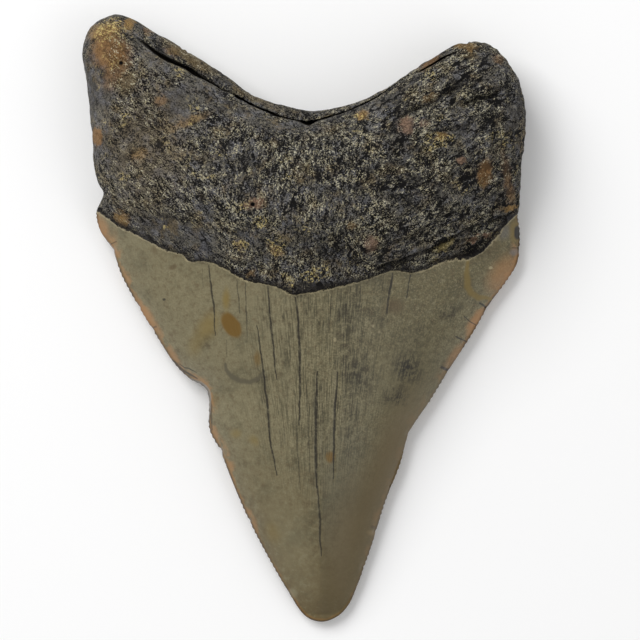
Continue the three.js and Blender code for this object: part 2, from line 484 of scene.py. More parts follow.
def rootRelief(spots, places, inwards, upper):
    x, y = places[:, 0], places[:, 1]
    size, height = relief["rootSwell"]
    lift = height * noiseAt(spots, size, 3)
    size, height = relief["rootLumps"]
    lumps = fibreNoise(spots, x, size, 11, relief["lumpStretch"])
    lift += height * (0.35 - np.abs(lumps)) * 1.6
    size, height = relief["rootFibres"]
    lift += height * fibreNoise(spots, x, size, 23, relief["fibreStretch"])
    size, height = relief["rootGrain"]
    lift += height * noiseAt(spots, size, 37, 1)
    calm, wild = relief["wild"]
    wild = calm + (wild - calm) * fade(x, 5, 25)
    lift *= wild * (0.45 + 0.55 * fade(inwards, 0.5, 5))
    gaps = np.zeros(len(places))

    random = np.random.default_rng(relief["seed"])
    for _ in range(relief["pits"]):
        face = float(random.random() < 0.65)
        spot = (random.uniform(-40, 40), random.uniform(5, 56))
        radius = random.uniform(*relief["pitRadius"])
        depth = random.uniform(*relief["pitDepth"])
        lift -= depth * bell(np.hypot(x - spot[0], y - spot[1]), radius) * (upper == face)
    for height, reach, *line in folds:
        edge = drawLine(line)
        above = (y - np.interp(x, edge[:, 0], edge[:, 1])) * 0.9 + 0.3 * noiseAt(spots, 2.0, 53, 2)
        ends = fade(x, edge[0, 0], edge[0, 0] + 3) * (1 - fade(x, edge[-1, 0] - 3, edge[-1, 0]))
        shingle = fade(above, -0.1, 0.4) * np.exp(-np.clip(above, 0, None) / reach)
        gap = bell(above + 0.35, 0.45) * ends
        lift += height * (1.3 * shingle * ends - 0.6 * gap) * upper
        # the gaps under the folds are kept for painted shade
        gaps = np.maximum(gaps, gap * height * upper)
    for midX, midY, halfWidth, halfLength, turn, depth in hollows:
        cos, sin = heading(turn)
        along = ((x - midX) * cos + (y - midY) * sin) / halfWidth
        across = ((y - midY) * cos - (x - midX) * sin) / halfLength
        lift -= depth * bell(np.hypot(along, across), 1.0) * upper
    return lift, gaps


def crownRelief(spots, places, upper):
    x, y = places[:, 0], places[:, 1]
    size, height = relief["crownSwell"]
    lift = height * noiseAt(spots, size, 41)
    midX, halfWidth, height = relief["ridge"]
    ridge = np.exp(-np.abs(x - midX) / halfWidth) * fade(-y, 20, 45) * (1 - fade(-y, 51, 56.5))
    lift += height * ridge * upper
    grooveWidth, grooveDepth = relief["crackGroove"]
    for face, lines in cracks.items():
        here = upper if face == "upper" else 1 - upper
        for _, darkness, *line in lines:
            away = distanceNear(line, places[:, :2])
            lift -= grooveDepth * darkness * bell(away, grooveWidth) * here
    return lift


def buildTooth():
    rowCount = mesh["crownRows"] + mesh["rootRows"] + mesh["ledgeRows"]
    columnCount = mesh["columns"]
    bm = bmesh.new()
    for _ in range(2):
        bmesh.ops.create_grid(bm, x_segments=columnCount, y_segments=rowCount, size=0.5)
    half = len(bm.verts) // 2
    bm.verts.ensure_lookup_table()
    bm.faces.ensure_lookup_table()
    bmesh.ops.reverse_faces(bm, faces=bm.faces[len(bm.faces) // 2:])

    # each grid is one half of the bake map
    bakeMap = bm.loops.layers.uv.new("OFBake")
    margin = mesh["bakeMargin"]
    for i, face in enumerate(bm.faces):
        lower = i >= len(bm.faces) // 2
        face.material_index = int(lower)
        for loop in face.loops:
            u, v = loop.vert.co.x + 0.5, loop.vert.co.y + 0.5
            loop[bakeMap].uv = (margin + u * (0.5 - 2 * margin) + lower / 2, margin + v * (1 - 2 * margin))

    # move both grids to their faces of the tooth
    layers = {name: bm.verts.layers.float.new(name)
              for name in ("aboveLine", "fromRim", "broken", "crease", "fold", "upper", "row")}
    at = np.array([v.co[:2] for v in bm.verts])
    at = np.rint((at + 0.5) * (columnCount, rowCount)).astype(int)
    for face, vertices in (("upper", range(half)), ("lower", range(half, 2 * half))):
        places, aboveLine, behind = laySheet(face)
        inwards = distanceTo(wholeOutline, places)
        inwards[[0, -1]] = 0
        inwards[:, [0, -1]] = 0
        if face == "upper":
            heights, broken, cut = upperHeights(places, aboveLine, behind, inwards)
        else:
            heights = lowerHeights(places, inwards)
            broken = cut = np.zeros(inwards.shape)
        values = {"aboveLine": aboveLine, "fromRim": inwards, "broken": broken, "crease": cut}
        for i in vertices:
            column, row = at[i]
            vertex = bm.verts[i]
            vertex.co = (*places[row, column], heights[row, column])
            for name, value in values.items():
                vertex[layers[name]] = value[row, column]
            vertex[layers["upper"]] = float(face == "upper")
            vertex[layers["row"]] = row
    bmesh.ops.remove_doubles(bm, verts=bm.verts, dist=mesh["weld"])
    bm.normal_update()
    print("tooth laid out,", len(bm.faces), "faces")
    carve(bm, layers)
    for name in ("upper", "row"):
        bm.verts.layers.float.remove(bm.verts.layers.float[name])

    data = bpy.data.meshes.new("tooth_fossil")
    bm.to_mesh(data)
    bm.free()
    data.shade_smooth()
    tooth = bpy.data.objects.new("tooth_fossil", data)
    bpy.context.collection.objects.link(tooth)
    return tooth


def carve(bm, layers):
    places = np.array([v.co for v in bm.verts])
    normals = np.array([v.normal for v in bm.verts])
    values = {name: np.array([v[layer] for v in bm.verts]) for name, layer in layers.items()}
    spots = [Vector(p) for p in places]
    onRoot = fade(values["aboveLine"], *relief["rootEdge"])
    lift, gaps = rootRelief(spots, places, values["fromRim"], values["upper"])
    lift *= onRoot
    lift += crownRelief(spots, places, values["upper"]) * (1 - onRoot)
    size, height = relief["brokenGrain"]
    lift += height * noiseAt(spots, size, 61) * values["broken"]
    atRim = bell(values["fromRim"], relief["nickReach"]) * (1 - onRoot)
    for x, y, halfLength, depth in nicks:
        lift -= depth * bell(np.hypot(places[:, 0] - x, places[:, 1] - y), halfLength) * atRim

    # the cutting edge is serrated, one tooth to every two rows
    depth, reach = relief["serration"]
    sharp = fade(noiseAt(spots, relief["worn"], 71), -0.5, 0.1) * fade(places[:, 1], -54, -48)
    sharp = sharp * (1 - values["broken"])
    teeth = np.where(values["row"] % 2 > 0.5, 1, -1) * bell(values["fromRim"], reach)
    bite = depth * teeth * sharp * (1 - onRoot)
    outwards = normals * (1, 1, 0)
    places += normals * lift[:, None] + outwards * bite[:, None]
    places[:, 2] = np.maximum(places[:, 2], 0)
    # the fold attribute carries the gaps under the folds, for painted shade
    for vertex, place, dark in zip(bm.verts, places, gaps * onRoot):
        vertex.co = place
        vertex[layers["fold"]] = dark


def fitToFrame(tooth):
    # the tooth fills the box that the frame holds for it
    low, high = (np.array(corner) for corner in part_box("tooth"))
    places = np.array([v.co for v in tooth.data.vertices]) * mm
    places += (low + high) / 2 - (places.min(axis=0) + places.max(axis=0)) / 2
    places[:, 2] += low[2] - places[:, 2].min()
    tooth.data.vertices.foreach_set("co", places.ravel())
    tooth.data.update()


tooth = buildTooth()
fitToFrame(tooth)
print("tooth carved")

# Material helpers

def shade(red, green, blue):
    # a colour as a painter reads it off a chart, 0 to 255
    parts = [c / 255 for c in (red, green, blue)]
    return tuple(c / 12.92 if c < 0.04045 else ((c + 0.055) / 1.055) ** 2.4 for c in parts) + (1,)


def fill(tree, socket, value):
    # the value is another node's output, the name of a colour, or a plain value
    if isinstance(value, bpy.types.NodeSocket):
        tree.links.new(value, socket)
    elif isinstance(value, str):
        socket.default_value = colours[value]
    else:
        socket.default_value = value


def addNode(tree, kind, inputs=None, **settings):
    node = tree.nodes.new("ShaderNode" + kind)
    for name, value in settings.items():
        setattr(node, name, value)
    for name, value in (inputs or {}).items():
        fill(tree, node.inputs[name], value)
    return node


def maths(tree, operation, *values):
    return addNode(tree, "Math", dict(enumerate(values)), operation=operation).outputs[0]


def times(tree, first, second):
    return maths(tree, "MULTIPLY", first, second)


def largerOf(tree, first, second):
    # the first may be missing
    return second if first is None else maths(tree, "MAXIMUM", first, second)


def stored(tree, name):
    # a value that the mesh carries at every vertex
    return addNode(tree, "Attribute", attribute_name=name).outputs["Fac"]


def vectorMaths(tree, operation, *values):
    node = addNode(tree, "VectorMath", operation=operation)
    for i, value in enumerate(values):
        fill(tree, node.inputs["Scale" if operation == "SCALE" and i else i], value)
    return node.outputs["Value" if operation in ("LENGTH", "DOT_PRODUCT", "DISTANCE") else 0]


def span(tree, value, low, high, fromLow=0.0, toHigh=1.0):
    # smooth step from one level to another while the value goes from low to high
    inputs = {"Value": value, "From Min": low, "From Max": high, "To Min": fromLow, "To Max": toHigh}
    return addNode(tree, "MapRange", inputs, interpolation_type="SMOOTHSTEP", clamp=False).outputs[0]


def tint(tree, amount, under, over):
    inputs = {0: amount, 6: under, 7: over}
    return addNode(tree, "Mix", inputs, data_type="RGBA").outputs[2]


def fadeIn(tree, colour, value, low, high, strength, name):
    # the named colour sets in while the value goes from low to high
    return tint(tree, span(tree, value, low, high, 0.0, strength), colour, name)


def grainOf(tree, place, scale, detail=3.0, rough=0.55):
    inputs = {"Vector": place, "Scale": scale, "Detail": detail, "Roughness": rough}
    return addNode(tree, "TexNoise", inputs).outputs[0]


def thinLines(tree, value, middle, halfWidth):
    # 1 where the value is at its middle, falling to 0 on both sides
    away = maths(tree, "ABSOLUTE", maths(tree, "SUBTRACT", value, middle))
    return span(tree, away, 0.0, halfWidth, 1.0, 0.0)


def stretched(tree, place, turn, along):
    # a pattern that is drawn out along the angle turn
    inputs = {"Vector": place, "Rotation": (0, 0, math.radians(turn)), "Scale": (along, 1, 1)}
    return addNode(tree, "Mapping", inputs, vector_type="TEXTURE").outputs[0]


def wandering(tree, place, scale, reach):
    # the place pushed about a little, so that what is drawn there has a ragged edge
    push = addNode(tree, "TexNoise", {"Vector": place, "Scale": scale, "Detail": 3.0}).outputs[1]
    push = vectorMaths(tree, "SUBTRACT", push, (0.5, 0.5, 0.5))
    moved = vectorMaths(tree, "ADD", place, vectorMaths(tree, "SCALE", push, reach))
    return vectorMaths(tree, "MULTIPLY", moved, (1, 1, 0))


def newGroup(name, inputs):
    group = bpy.data.node_groups.new(name, "ShaderNodeTree")
    for label, kind in inputs.items():
        group.interface.new_socket(label, in_out="INPUT", socket_type="NodeSocket" + kind)
    group.interface.new_socket("Amount", in_out="OUTPUT", socket_type="NodeSocketFloat")
    given = group.nodes.new("NodeGroupInput").outputs
    result = group.nodes.new("NodeGroupOutput").inputs[0]
    return group, given, result


def makeStroke():
    # how near a place is to a straight stroke, whose width grows evenly along it
    group, given, result = newGroup("stroke", {
        "Place": "Vector", "Start": "Vector", "Run": "Vector", "Width": "Float", "Growth": "Float"})
    away = vectorMaths(group, "SUBTRACT", given["Place"], given["Start"])
    along = vectorMaths(group, "DOT_PRODUCT", away, given["Run"])
    length = vectorMaths(group, "DOT_PRODUCT", given["Run"], given["Run"])
    share = maths(group, "MAXIMUM", maths(group, "DIVIDE", along, length), 0.0)
    share = maths(group, "MINIMUM", share, 1.0)
    foot = vectorMaths(group, "SCALE", given["Run"], share)
    near = vectorMaths(group, "DISTANCE", away, foot)
    width = maths(group, "MULTIPLY_ADD", share, given["Growth"], given["Width"])
    ratio = maths(group, "DIVIDE", near, width)
    group.links.new(span(group, ratio, 0.3, 1.0, 1.0, 0.0), result)
    return group


def makeSpot():
    # how far a place is inside a turned oval
    group, given, result = newGroup("spot", {
        "Place": "Vector", "Centre": "Vector", "Across": "Vector", "Along": "Vector", "Soft": "Float"})
    away = vectorMaths(group, "SUBTRACT", given["Place"], given["Centre"])
    across = vectorMaths(group, "DOT_PRODUCT", away, given["Across"])
    along = vectorMaths(group, "DOT_PRODUCT", away, given["Along"])
    square = maths(group, "MULTIPLY", across, across)
    ratio = maths(group, "SQRT", maths(group, "MULTIPLY_ADD", along, along, square))
    inner = maths(group, "SUBTRACT", 1.0, given["Soft"])
    outer = maths(group, "ADD", 1.0, given["Soft"])
    group.links.new(span(group, ratio, inner, outer, 1.0, 0.0), result)
    return group


strokeGroup = makeStroke()
spotGroup = makeSpot()


def groupNode(tree, group, inputs):
    return addNode(tree, "Group", inputs, node_tree=group).outputs[0]


def strokeOn(tree, place, width, points):
    # a line of strokes, thinner towards both ends
    ends = len(points) - 1
    widths = [width * (0.4 + 0.7 * math.sin(math.pi * (i + 0.2) / (ends + 0.4))) for i in range(ends + 1)]
    amount = None
    for i, ((x, y), (nextX, nextY)) in enumerate(zip(points, points[1:])):
        part = groupNode(tree, strokeGroup, {
            "Place": place, "Start": (x, y, 0), "Run": (nextX - x, nextY - y, 0),
            "Width": widths[i], "Growth": widths[i + 1] - widths[i]})
        amount = largerOf(tree, amount, part)
    return amount


def spotOn(tree, place, x, y, halfWidth, halfLength, turn, soft):
    cos, sin = heading(turn)
    return groupNode(tree, spotGroup, {
        "Place": place, "Centre": (x, y, 0), "Soft": soft,
        "Across": (cos / halfWidth, sin / halfWidth, 0),
        "Along": (-sin / halfLength, cos / halfLength, 0)})


# Colours

colours = {
    "charcoal": (100, 97, 91),
    "coal": (70, 68, 66),
    "slate": (106, 106, 110),
    # painted highlight on the root's ridges
    "ridgeHighlight": (224, 212, 172),
    # painted shade in the root's pits, crevices, holes and fold gaps
    "pitShade": (13, 12, 12),
    # painted glint on the root's highest grains
    "glint": (226, 220, 192),
    "ochre": (150, 118, 68),
    "rust": (134, 100, 62),
    "tan": (122, 104, 70),
    "clay": (150, 120, 98),
    "straw": (202, 182, 118),
    "olive": (118, 110, 83),
    "moss": (102, 94, 64),
    "bark": (97, 82, 50),
    "smoke": (72, 68, 48),
    "haze": (130, 123, 96),
    "amber": (104, 76, 20),
    "peach": (164, 120, 74),
    "umber": (84, 68, 44),
    "honey": (120, 101, 50),
    "crack": (38, 34, 24),
    "facet": (86, 80, 62),
    # dark marks, and painted shade at the enamel's edge and in the root's hollows
    "inkAndShade": (26, 23, 22),
    # painted shade in the crease behind the bulge
    "creaseShade": (24, 18, 13),
    "lip": (164, 152, 118),
}
colours = {name: shade(*value) for name, value in colours.items()}

# Fineness of each pattern in the finish, in lumps to a millimetre
grain = {
    "stretch": 2.8,             # how far the root's patterns are drawn out along its fibres
    "coarse": 1.3,
    "fine": 3.6,
    "grit": (0.95, 0.75, 0.85), # share of the fine, share of the coarse, and their middle value
    "threads": 2.0,
    "threadPatches": 0.6,
    "crevices": 0.42,
    "torn": 0.2,
    "unevenness": 0.15,
    "rootTone": 0.14,
    "slateClouds": 0.4,
    "tanClouds": 0.24,
    "goldClumps": 0.22,
    "gold": 1.9,
    "rootLine": 1.1,
    "crownTone": 0.045,
    "smoke": 0.16,
    "mottle": 0.9,
    "specks": 2.9,
    "blotches": 0.5,
    "margin": 0.26,
    "streaks": 4.5,
    "hairs": 1.3,
    "hairBreaks": 0.3,
    # thin lines follow a value of their pattern: that value, and how far off it they reach
    "threadLine": (0.51, 0.034),
    "creviceLine": (0.5, 0.03),
    "hairLine": (0.5, 0.028),
    # how drawn shapes are pushed about: scale, reach in millimetres
    "ragged": (0.9, 2.2),
    "smooth": (0.4, 0.6),
}

gloss = {
    "body": 0.15,
    "coat": 0.5,                # the enamel alone has a polish over its colour
    "coatRoughness": 0.34,
    "rootRoughness": (0.9, 0.55),   # in its pits, on its ridges
    "crownRoughness": (0.38, 0.5),
    "bump": 0.8,                # depth of the finest grain, in millimetres
    "crownBump": 0.03,          # the enamel has this share of it
}

# Markings of each face. A spot is x, y, half width, half length and turn; then come its
# softness, colour and strength where it has its own, and a drawn mark is width, colour,
# strength and the line.
#   patches   stains on the root
#   shades    dark places on the root, some of them painted shade in its hollows; its grain shows on them as on bare root
#   holes     small round holes where vessels entered the root, painted black as shade: x, y, radius
#   golds     clusters of golden grains on the root
#   calms     calmer stretches of the root, where the old surface is left
#   stains    stains on the enamel
#   smokes    smoky places in the crazed enamel, each with its strength
#   marks     drawn marks on the enamel
upperMarkings = {
    "patches": [
        (-30, 32, 7, 11, 0, 0.8, "tan", 0.35),
        (-37.4, 54.2, 3.4, 1.7, 12, 0.5, "ochre", 0.8),
        (-36.6, 50.4, 3.2, 3.4, -30, 0.4, "rust", 0.9),
        (-34.8, 47.2, 2.0, 4.2, -28, 0.5, "rust", 0.7),
        (-33, 44.2, 1.6, 2.2, -28, 0.7, "tan", 0.7),
        (-32.9, 55.6, 0.9, 1.3, -25, 0.4, "ochre", 0.85),
        (-29.6, 54.2, 0.8, 1.0, 30, 0.5, "rust", 0.6),
        (-24.6, 50.4, 1.5, 0.9, -25, 0.5, "rust", 0.5),
        (-39, 34.4, 1.1, 1.7, -8, 0.35, "rust", 0.9),
        (-26.8, 40.9, 1.3, 1.0, 30, 0.5, "rust", 0.5),
        (-21.1, 37.1, 3.4, 0.8, 22, 0.6, "ochre", 0.5),
        (-31, 30.6, 1.6, 1.1, 20, 0.6, "ochre", 0.5),
        (-5.4, 32.8, 1.1, 0.8, 0, 0.6, "tan", 0.55),
        (-9.3, 21.4, 2.1, 1.0, 12, 0.45, "clay", 0.85),
        (-12, 13.8, 1.1, 1.1, 0, 0.6, "ochre", 0.35),
        (-5.2, 12.8, 1.6, 0.9, -30, 0.5, "ochre", 0.5),
        (-9.9, 8.5, 0.9, 0.8, 0, 0.5, "ochre", 0.6),
        (-34.6, 18.9, 1.6, 1.2, -40, 0.5, "ochre", 0.75),
        (30.5, 51.3, 2.4, 0.8, -8, 0.5, "ochre", 0.85),
        (30.9, 49.4, 1.2, 0.8, 0, 0.5, "tan", 0.6),
        (36.7, 49, 1.2, 1.0, -40, 0.5, "rust", 0.6),
        (23.6, 48.2, 2.6, 0.6, 32, 0.5, "rust", 0.75),
        (-22, 49.6, 5.5, 1.1, -33, 0.5, "tan", 0.7),
        (-9, 41.6, 4.5, 0.8, -24, 0.5, "tan", 0.5),
        (10.8, 38.2, 1.3, 0.9, 20, 0.5, "ochre", 0.85),
        (23.7, 41.5, 1.6, 0.7, 30, 0.5, "ochre", 0.6),
        (19.2, 36.2, 1.5, 1.7, 0, 0.45, "clay", 0.75),
        (22.4, 36.5, 0.9, 0.9, 0, 0.5, "clay", 0.55),
        (25.6, 34.1, 1.4, 0.9, 25, 0.4, "ochre", 0.75),
        (29.4, 29.7, 0.9, 0.8, 0, 0.4, "clay", 0.8),
        (33.9, 27.2, 1.4, 2.4, -8, 0.4, "rust", 0.9),
        (38.4, 26, 0.9, 5.2, 12, 0.6, "rust", 0.6),
        (38.9, 20.9, 1.6, 0.5, 15, 0.5, "ochre", 0.85),
        (8.8, 17.4, 1.0, 0.9, 0, 0.5, "ochre", 0.6),
        (12.6, 13.9, 1.3, 1.6, 0, 0.45, "clay", 0.7),
        (26.5, 13.9, 2.2, 0.7, 34, 0.4, "straw", 0.7),
        (31.8, 15, 1.3, 0.6, 24, 0.3, "clay", 0.95),
        (34.6, 15.7, 1.0, 0.5, 24, 0.3, "clay", 0.9),
    ],
    "shades": [
        (1.6, 6.1, 4.6, 0.8, 4, 0.5, "inkAndShade", 0.7),
        # painted shade in the crevice below the fold
        (32.3, 13.3, 4.2, 1.0, 30, 0.4, "inkAndShade", 0.95),
        (17, 9.9, 4.5, 0.7, 16, 0.5, "inkAndShade", 0.6),
        # painted shade in the crease of the right lobe
        (32.7, 41.4, 3.0, 0.9, 15, 0.6, "inkAndShade", 0.7),
        (21, 27.5, 11, 4.5, 12, 0.8, "inkAndShade", 0.35),
        (8, 14, 9, 2.6, 10, 0.9, "inkAndShade", 0.25),
        (39.2, 18.9, 1.3, 0.7, 25, 0.4, "slate", 0.7),
        (-26, 20, 7, 2.2, -30, 0.9, "inkAndShade", 0.25),
        (-4, 30, 6, 4, 0, 0.9, "inkAndShade", 0.2),
        (36, 37, 2.5, 8, 10, 0.9, "inkAndShade", 0.25),
        (-20, 49.2, 10, 1.6, -34, 0.6, "inkAndShade", 0.45),
        (-5, 41.2, 6, 1.2, -20, 0.6, "inkAndShade", 0.35),
    ],
    "holes": [(-9.5, 21.3, 0.42), (-34.3, 48, 0.35), (-19, 33, 0.25), (14, 34.5, 0.25), (6.5, 27, 0.22)],
    "golds": [
        (2.5, 8.6, 2.8, 1.4, 20), (-5, 12.9, 2.2, 1.4, -30), (-11.6, 13.6, 1.6, 1.4, 0),
        (23.6, 46.2, 1.6, 1.2, 0), (26.5, 14, 2.4, 0.9, 34), (-25.8, 16.8, 1.0, 0.8, 0),
        (-36.5, 54, 3.5, 2.2, 10), (25, 33.4, 3, 1.4, 20), (10.6, 38, 1.6, 1.2, 0),
        (-8, 18, 1.5, 1.5, 0),
    ],
    "calms": [
        (-38.8, 42, 2.4, 13, 4), (-27.5, 48.5, 5, 1.8, -32), (-22, 15.6, 9, 2.4, -22),
        (0.8, 6.4, 5.5, 0.9, 4), (30.2, 35.4, 2.8, 1.5, 0), (15, 40.4, 3.4, 1.2, 28),
        (39.2, 19, 1.6, 0.8, 25), (22, 13, 2.2, 0.9, 20), (39.6, 37, 1.6, 7, 0), (-24, 40, 3, 4, 20),
        (-18.5, 42.4, 6, 1.8, -33), (-8, 37, 5, 1.6, -20),
    ],
    "stains": [
        (-13.7, -1.2, 1.5, 2.6, 32, 0.2, "amber", 0.93),
        (-14.6, 3.6, 0.6, 1.8, 0, 0.8, "honey", 0.8),
        (-18.2, -1.6, 1.6, 2.6, -32, 0.8, "honey", 0.65),
        (-20.6, -5, 1.2, 1.8, -15, 0.9, "honey", 0.4),
        (-8.8, -7.4, 0.6, 1.3, 0, 0.6, "amber", 0.6),
        (-24.8, 9.8, 0.8, 0.45, 20, 0.5, "umber", 0.6),
        (-28.3, 13, 0.5, 0.8, 30, 0.6, "umber", 0.45),
        (-17.3, 1.8, 0.4, 0.5, 0, 0.6, "umber", 0.5),
        (17, 2.4, 1.6, 1.3, 0, 0.8, "umber", 0.75),
        (22, -14, 8, 10, 25, 0.8, "moss", 0.6),
        # painted shade right of the tip's ridge
        (8.5, -44, 4.6, 14, -15, 0.7, "bark", 0.7),
        (17, -26, 3.8, 12, -17, 0.8, "bark", 0.85),
        # painted light left of the tip's ridge
        (-2.6, -43, 3.4, 9, 18, 0.8, "haze", 0.35),
        (37.6, 8.6, 2.0, 3.6, -35, 0.7, "peach", 0.6),
        (35, 13, 2.4, 2.6, 0, 0.8, "umber", 0.25),
        (-37.2, 10.6, 1.0, 4.5, -12, 0.8, "peach", 0.65),
        (-30.6, 0.8, 1.0, 2.6, 32, 0.8, "peach", 0.6),
        (-38.3, 17.4, 1.0, 2.2, 20, 0.7, "peach", 0.6),
        (32.4, -0.4, 0.8, 2.2, -35, 0.7, "peach", 0.6),
        (28.4, -7, 0.7, 2.6, -35, 0.7, "peach", 0.5),
        (35.3, 9.6, 0.35, 0.3, 0, 0.4, "lip", 0.9),
        (5.8, -3.9, 0.3, 0.35, 0, 0.5, "lip", 0.8),
        (14.2, -2.5, 0.25, 0.25, 0, 0.5, "lip", 0.7),
        (12.9, -1.3, 0.25, 0.25, 0, 0.5, "lip", 0.7),
        (-26.5, 3.6, 0.25, 0.25, 0, 0.4, "inkAndShade", 0.8),
        (4.9, -26, 0.9, 1.0, 0, 0.4, "amber", 0.95),
        (-12.9, -21.7, 0.9, 0.7, 0, 0.8, "honey", 0.5),
        (-9.4, -23, 0.7, 1.0, 40, 0.9, "honey", 0.5),
        (-17, -15.4, 0.8, 1.2, 0, 0.8, "amber", 0.35),
        (-6.1, -40.5, 1.1, 1.8, 15, 0.9, "honey", 0.35),
        (39.9, 12.7, 0.9, 0.6, 10, 0.5, "slate", 0.5),
        (40.0, 16.6, 1.1, 2.0, 0, 0.4, "honey", 0.8),
        (40.5, 16.4, 0.7, 1.3, 0, 0.25, "inkAndShade", 0.95),
        (38.0, 16.4, 1.0, 1.4, -20, 0.6, "slate", 0.4),
        (-2.1, -52.1, 0.8, 0.9, 30, 0.5, "haze", 0.6),
        (12.8, -40.7, 0.9, 0.5, -10, 0.6, "tan", 0.7),
    ],
    "smokes": [
        (8.6, 2.2, 2.4, 4.2, 0, 0.42), (11.5, -2, 5, 4, 0, 0.25), (7.6, -5.5, 1.6, 2.6, 0, 0.3),
        (10.2, -10.5, 2.6, 3.6, 20, 0.6), (17.2, -14.6, 2.0, 1.8, 0, 0.7), (19.5, -9.4, 2.4, 2.4, 20, 0.8),
        (27.2, 1.2, 2.0, 1.2, 20, 0.6), (21, -3.5, 3.4, 1.8, 30, 0.3), (14.5, 6.2, 1.8, 1.6, 0, 0.35),
        (8.6, -18, 1.2, 8, 0, 0.4), (-7, 0, 1.4, 1.8, 0, 0.3), (-8.2, -11.3, 1.1, 0.7, 10, 0.7),
        (-18.5, -4.6, 1.0, 1.6, -20, 0.2), (24, -9, 6, 9, 30, 0.22), (4, -38, 3, 8, 0, 0.12),
        (-3.3, -6, 1.2, 8, 0, 0.2), (2.4, -20, 1.6, 10, 0, 0.25), (1.3, 1.5, 1.6, 2.2, 0, 0.3),
    ],
    "marks": [
        (0.7, "facet", 0.9, (-14.9, -8.4), (-14.6, -9.8), (-13.6, -11), (-12, -11.7), (-10.2, -11.8),
         (-8.6, -11.2), (-7.6, -9.8)),
        (0.9, "honey", 0.85, (30.9, 11.2), (30.7, 8.4), (30.9, 6.2), (31.7, 4.7), (33, 4), (35.5, 3.9)),
        (0.2, "inkAndShade", 0.7, (39.4, 13.5), (41, 13.5)),
        (0.35, "inkAndShade", 0.85, (33.4, 3), (34.8, 2.2)),
        (0.22, "inkAndShade", 0.75, (30.2, 0.6), (32.6, -1.3)),
        (0.3, "inkAndShade", 0.8, (28.8, -3.4), (30.8, -4.4)),
        (0.6, "inkAndShade", 0.8, (26, -9.2), (27.8, -9.8)),
        (0.6, "umber", 0.8, (12.9, -39.5), (14.2, -39.9)),
        (0.2, "inkAndShade", 0.6, (-37, 14.2), (-35.6, 14.6)),
        (0.4, "inkAndShade", 0.5, (-29.6, -2), (-28.2, -1.4)),
        (0.3, "crack", 0.8, (-25, -8), (-23.4, -9.4), (-21.6, -10.6), (-20.4, -11.3)),
        (0.16, "crack", 0.8, (-23.6, -8.7), (-21.6, -9.6), (-20.4, -10.1)),
        (0.3, "inkAndShade", 0.6, (-17.9, -14.2), (-17.7, -17.5), (-17.5, -21)),
    ],
}

lowerMarkings = {
    "patches": [
        (-33, 50, 3.4, 2.2, -34, 0.5, "rust", 0.7), (12, 38.6, 2.6, 1.2, 20, 0.5, "tan", 0.6),
        (24, 33, 1.8, 1.2, 10, 0.5, "ochre", 0.6), (-14, 26, 2.2, 1.0, -20, 0.5, "clay", 0.6),
        (35, 44.6, 2.6, 1.6, 40, 0.5, "rust", 0.6), (3, 30.6, 1.2, 1.0, 0, 0.5, "ochre", 0.5),
        (-27, 31, 1.6, 2.4, 10, 0.6, "ochre", 0.5), (17.6, 22.4, 1.4, 1.0, 30, 0.5, "clay", 0.6),
        (-36.6, 27.6, 1.4, 1.8, 0, 0.5, "rust", 0.6),
    ],
    "shades": [
        (0, 19, 13, 2.6, 0, 0.9, "inkAndShade", 0.35), (-25, 35, 6, 3, 30, 0.9, "inkAndShade", 0.3),
        (28, 26, 5, 3, 20, 0.9, "inkAndShade", 0.3), (8, 33, 4, 3, 0, 0.9, "inkAndShade", 0.25),
    ],
    "holes": [(7.6, 30, 0.4), (-11.6, 34, 0.35), (20.4, 27, 0.3), (-24, 24, 0.25)],
    "golds": [(-18, 19.6, 3, 1.4, -10), (6, 16.6, 2.6, 1.2, 8), (30, 39, 2, 1.4, 20)],
    "calms": [(-30, 40, 4, 6, 20), (14, 30, 5, 3, 0), (0, 24, 6, 2.4, 0), (33, 32, 3, 5, 0)],
    "stains": [
        (10.4, -9, 1.6, 2.6, -20, 0.3, "amber", 0.6), (-18, 2, 4, 7, -30, 0.8, "bark", 0.5),
        (5, -40, 4.6, 14, -12, 0.8, "bark", 0.6), (24, 2, 6, 8, 30, 0.9, "moss", 0.5),
        (-10, -22, 1.2, 1.0, 0, 0.8, "honey", 0.6), (-6, 7.6, 1.4, 2.2, 10, 0.6, "honey", 0.5),
        (-34.6, 8, 1.2, 4.5, -20, 0.8, "peach", 0.6), (35, 6, 1.4, 4.5, -30, 0.8, "peach", 0.6),
        (15, 9.2, 0.5, 0.4, 0, 0.5, "umber", 0.8), (-3.4, -31, 0.6, 0.7, 0, 0.5, "umber", 0.8),
    ],
    "smokes": [
        (-3, -2, 4, 7, 10, 0.4), (12, 3, 3, 3, 0, 0.5), (6, -20, 1.8, 9, 0, 0.35),
        (-14, -8, 3, 3, 0, 0.4), (20, -6, 3, 4, 20, 0.3), (-24, 11, 4, 2, -20, 0.3),
    ],
    "marks": [
        (0.5, "honey", 0.7, (18, -2), (19.6, -4.4), (21.8, -5), (23.6, -3.6)),
        (0.3, "facet", 0.7, (-26, 4), (-23.6, 2), (-22.4, -1.4)),
    ],
}


def layPatches(tree, colour, place, patches):
    # the colour with the patches on it, and how much of it they cover
    covered = None
    for x, y, halfWidth, halfLength, turn, soft, name, strength in patches:
        amount = spotOn(tree, place, x, y, halfWidth, halfLength, turn, soft)
        amount = times(tree, amount, strength)
        colour = tint(tree, amount, colour, name)
        covered = largerOf(tree, covered, amount)
    return colour, covered


def fibreGrain(tree, place, side, scale, detail, rough):
    # fine grain that runs along the fibres of the root
    value = None
    for turn, takesOver in fibres:
        layer = grainOf(tree, stretched(tree, place, turn, grain["stretch"]), scale, detail, rough)
        if value is None:
            value = layer
        else:
            share = span(tree, side, takesOver - 5, takesOver + 5)
            mixed = addNode(tree, "Mix", {0: share, 2: value, 3: layer}, data_type="FLOAT")
            value = mixed.outputs[0]
    return value


